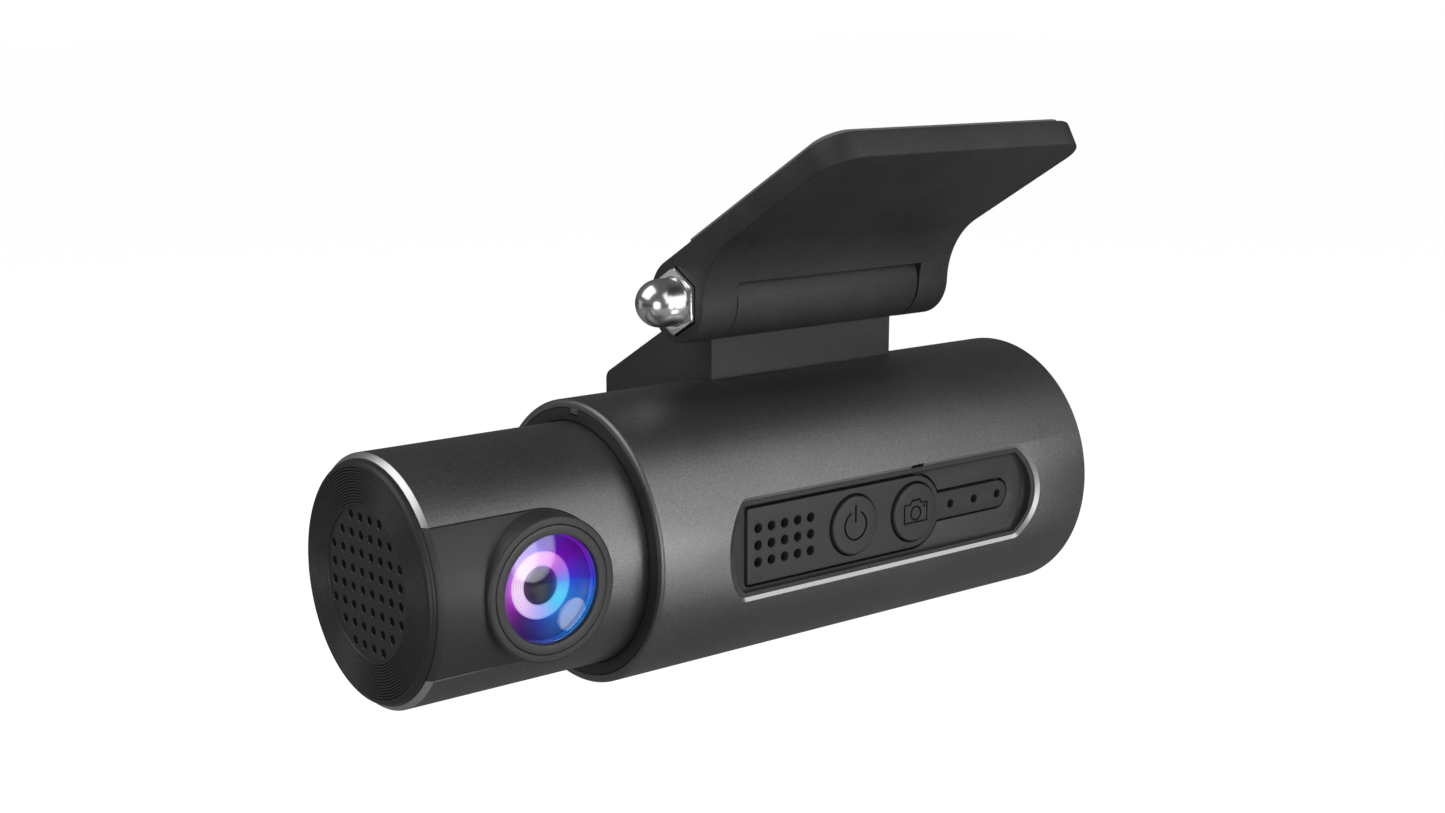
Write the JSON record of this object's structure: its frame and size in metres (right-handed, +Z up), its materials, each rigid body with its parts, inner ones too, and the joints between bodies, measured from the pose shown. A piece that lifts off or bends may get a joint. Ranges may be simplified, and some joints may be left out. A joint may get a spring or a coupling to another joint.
{
  "type": "dash camera",
  "caption": "Cylindrical dash camera with a turning lens end, a row of keys in a side window, and a hinged windscreen bracket with an adhesive pad.",
  "frame": {"origin": "middle of the adhesive pad's outer face, which is stuck to the windscreen", "axes": "+X along the camera from the lens end to the socket end, +Y forwards through the windscreen, +Z up"},
  "size_m": [0.1112, 0.057, 0.0738],
  "materials": {
    "body_metal": "dark gunmetal, fine bead-blasted and anodised",
    "shell_plastic": "black, fine satin texture",
    "fascia_plastic": "black, satin",
    "cap_plastic": "black, turned grooves",
    "panel_plastic": "black, fine matt texture",
    "key_plastic": "black, satin",
    "pad_foam": "dark grey foam tape with liner",
    "chrome": "polished",
    "steel": "plain",
    "inner_plastic": "black moulding",
    "slide_plastic": "natural low-friction plastic",
    "board": "green solder mask",
    "chip": "moulded black",
    "light": "clear diffusing",
    "lens_glass": "multi-coated",
    "lens_metal": "plain",
    "rubber": "soft black",
    "mesh": "woven black",
    "speaker_steel": "plated",
    "film": "amber film"
  },
  "bodies": {
    "bracket": {"bracket_plate": "shell_plastic", "adhesive_pad": "pad_foam", "hinge_bolt": "steel", "acorn_nut": "chrome"},
    "camera": {"hinge_foot": "shell_plastic", "hinge_sleeve": "steel", "friction_washers": "steel", "foot_screws": "steel", "body_tube": "body_metal", "collar_ring": "shell_plastic", "chassis": "inner_plastic", "bearing_ring": "slide_plastic", "side_panel": "panel_plastic", "key_plate": "panel_plastic", "mic_mesh": "mesh", "light_guide": "light", "main_board": "board", "board_screws": "steel", "tact_switches": "inner_plastic", "status_lights": "light", "microphone": "chip", "processor_shield": "steel", "processor": "chip", "heat_spreader": "lens_metal", "memory_chips": "chip", "capacitors": "lens_metal", "card_socket": "steel", "power_inlet": "steel", "reset_switch": "inner_plastic", "end_cap": "shell_plastic", "cap_screws": "steel", "antenna": "film", "ribbon_connector": "inner_plastic", "board_ribbon": "film"},
    "lens_turret": {"turret_shell": "body_metal", "lens_fascia": "fascia_plastic", "lens_ring": "fascia_plastic", "front_glass": "lens_glass", "lens_barrel": "lens_metal", "inner_lens": "lens_glass", "rear_lens": "lens_glass", "infrared_filter": "lens_glass", "lens_holder": "inner_plastic", "holder_screws": "steel", "sensor_board": "board", "image_sensor": "chip", "swivel_hub": "inner_plastic", "grille_cap": "cap_plastic", "grille_mesh": "mesh", "speaker_gasket": "rubber", "speaker": "speaker_steel", "sensor_ribbon": "film"},
    "power_key": {"power_button": "key_plastic"},
    "camera_key": {"camera_button": "key_plastic"},
    "card": {"memory_card": "chip"}
  },
  "joints": [
    {"name": "bracket_tilt", "type": "hinge", "parent": "bracket", "child": "camera", "pos_m": [0, 0.01482, -0.01612], "axis": [1, 0, 0], "range_deg": [-80, 100]},
    {"name": "lens_rotate", "type": "hinge", "parent": "camera", "child": "lens_turret", "pos_m": [-0.056, 0.01482, -0.04666], "axis": [1, 0, 0], "range_deg": [-20, 200]},
    {"name": "power_press", "type": "slide", "parent": "camera", "child": "power_key", "axis": [0, 1, 0], "range_m": [0, 0.0003], "stiffness_N_per_m": 4000},
    {"name": "camera_press", "type": "slide", "parent": "camera", "child": "camera_key", "axis": [0, 1, 0], "range_m": [0, 0.0003], "stiffness_N_per_m": 4000},
    {"name": "card_slide", "type": "slide", "parent": "camera", "child": "card", "axis": [1, 0, 0], "range_m": [0, 0.012]}
  ]
}
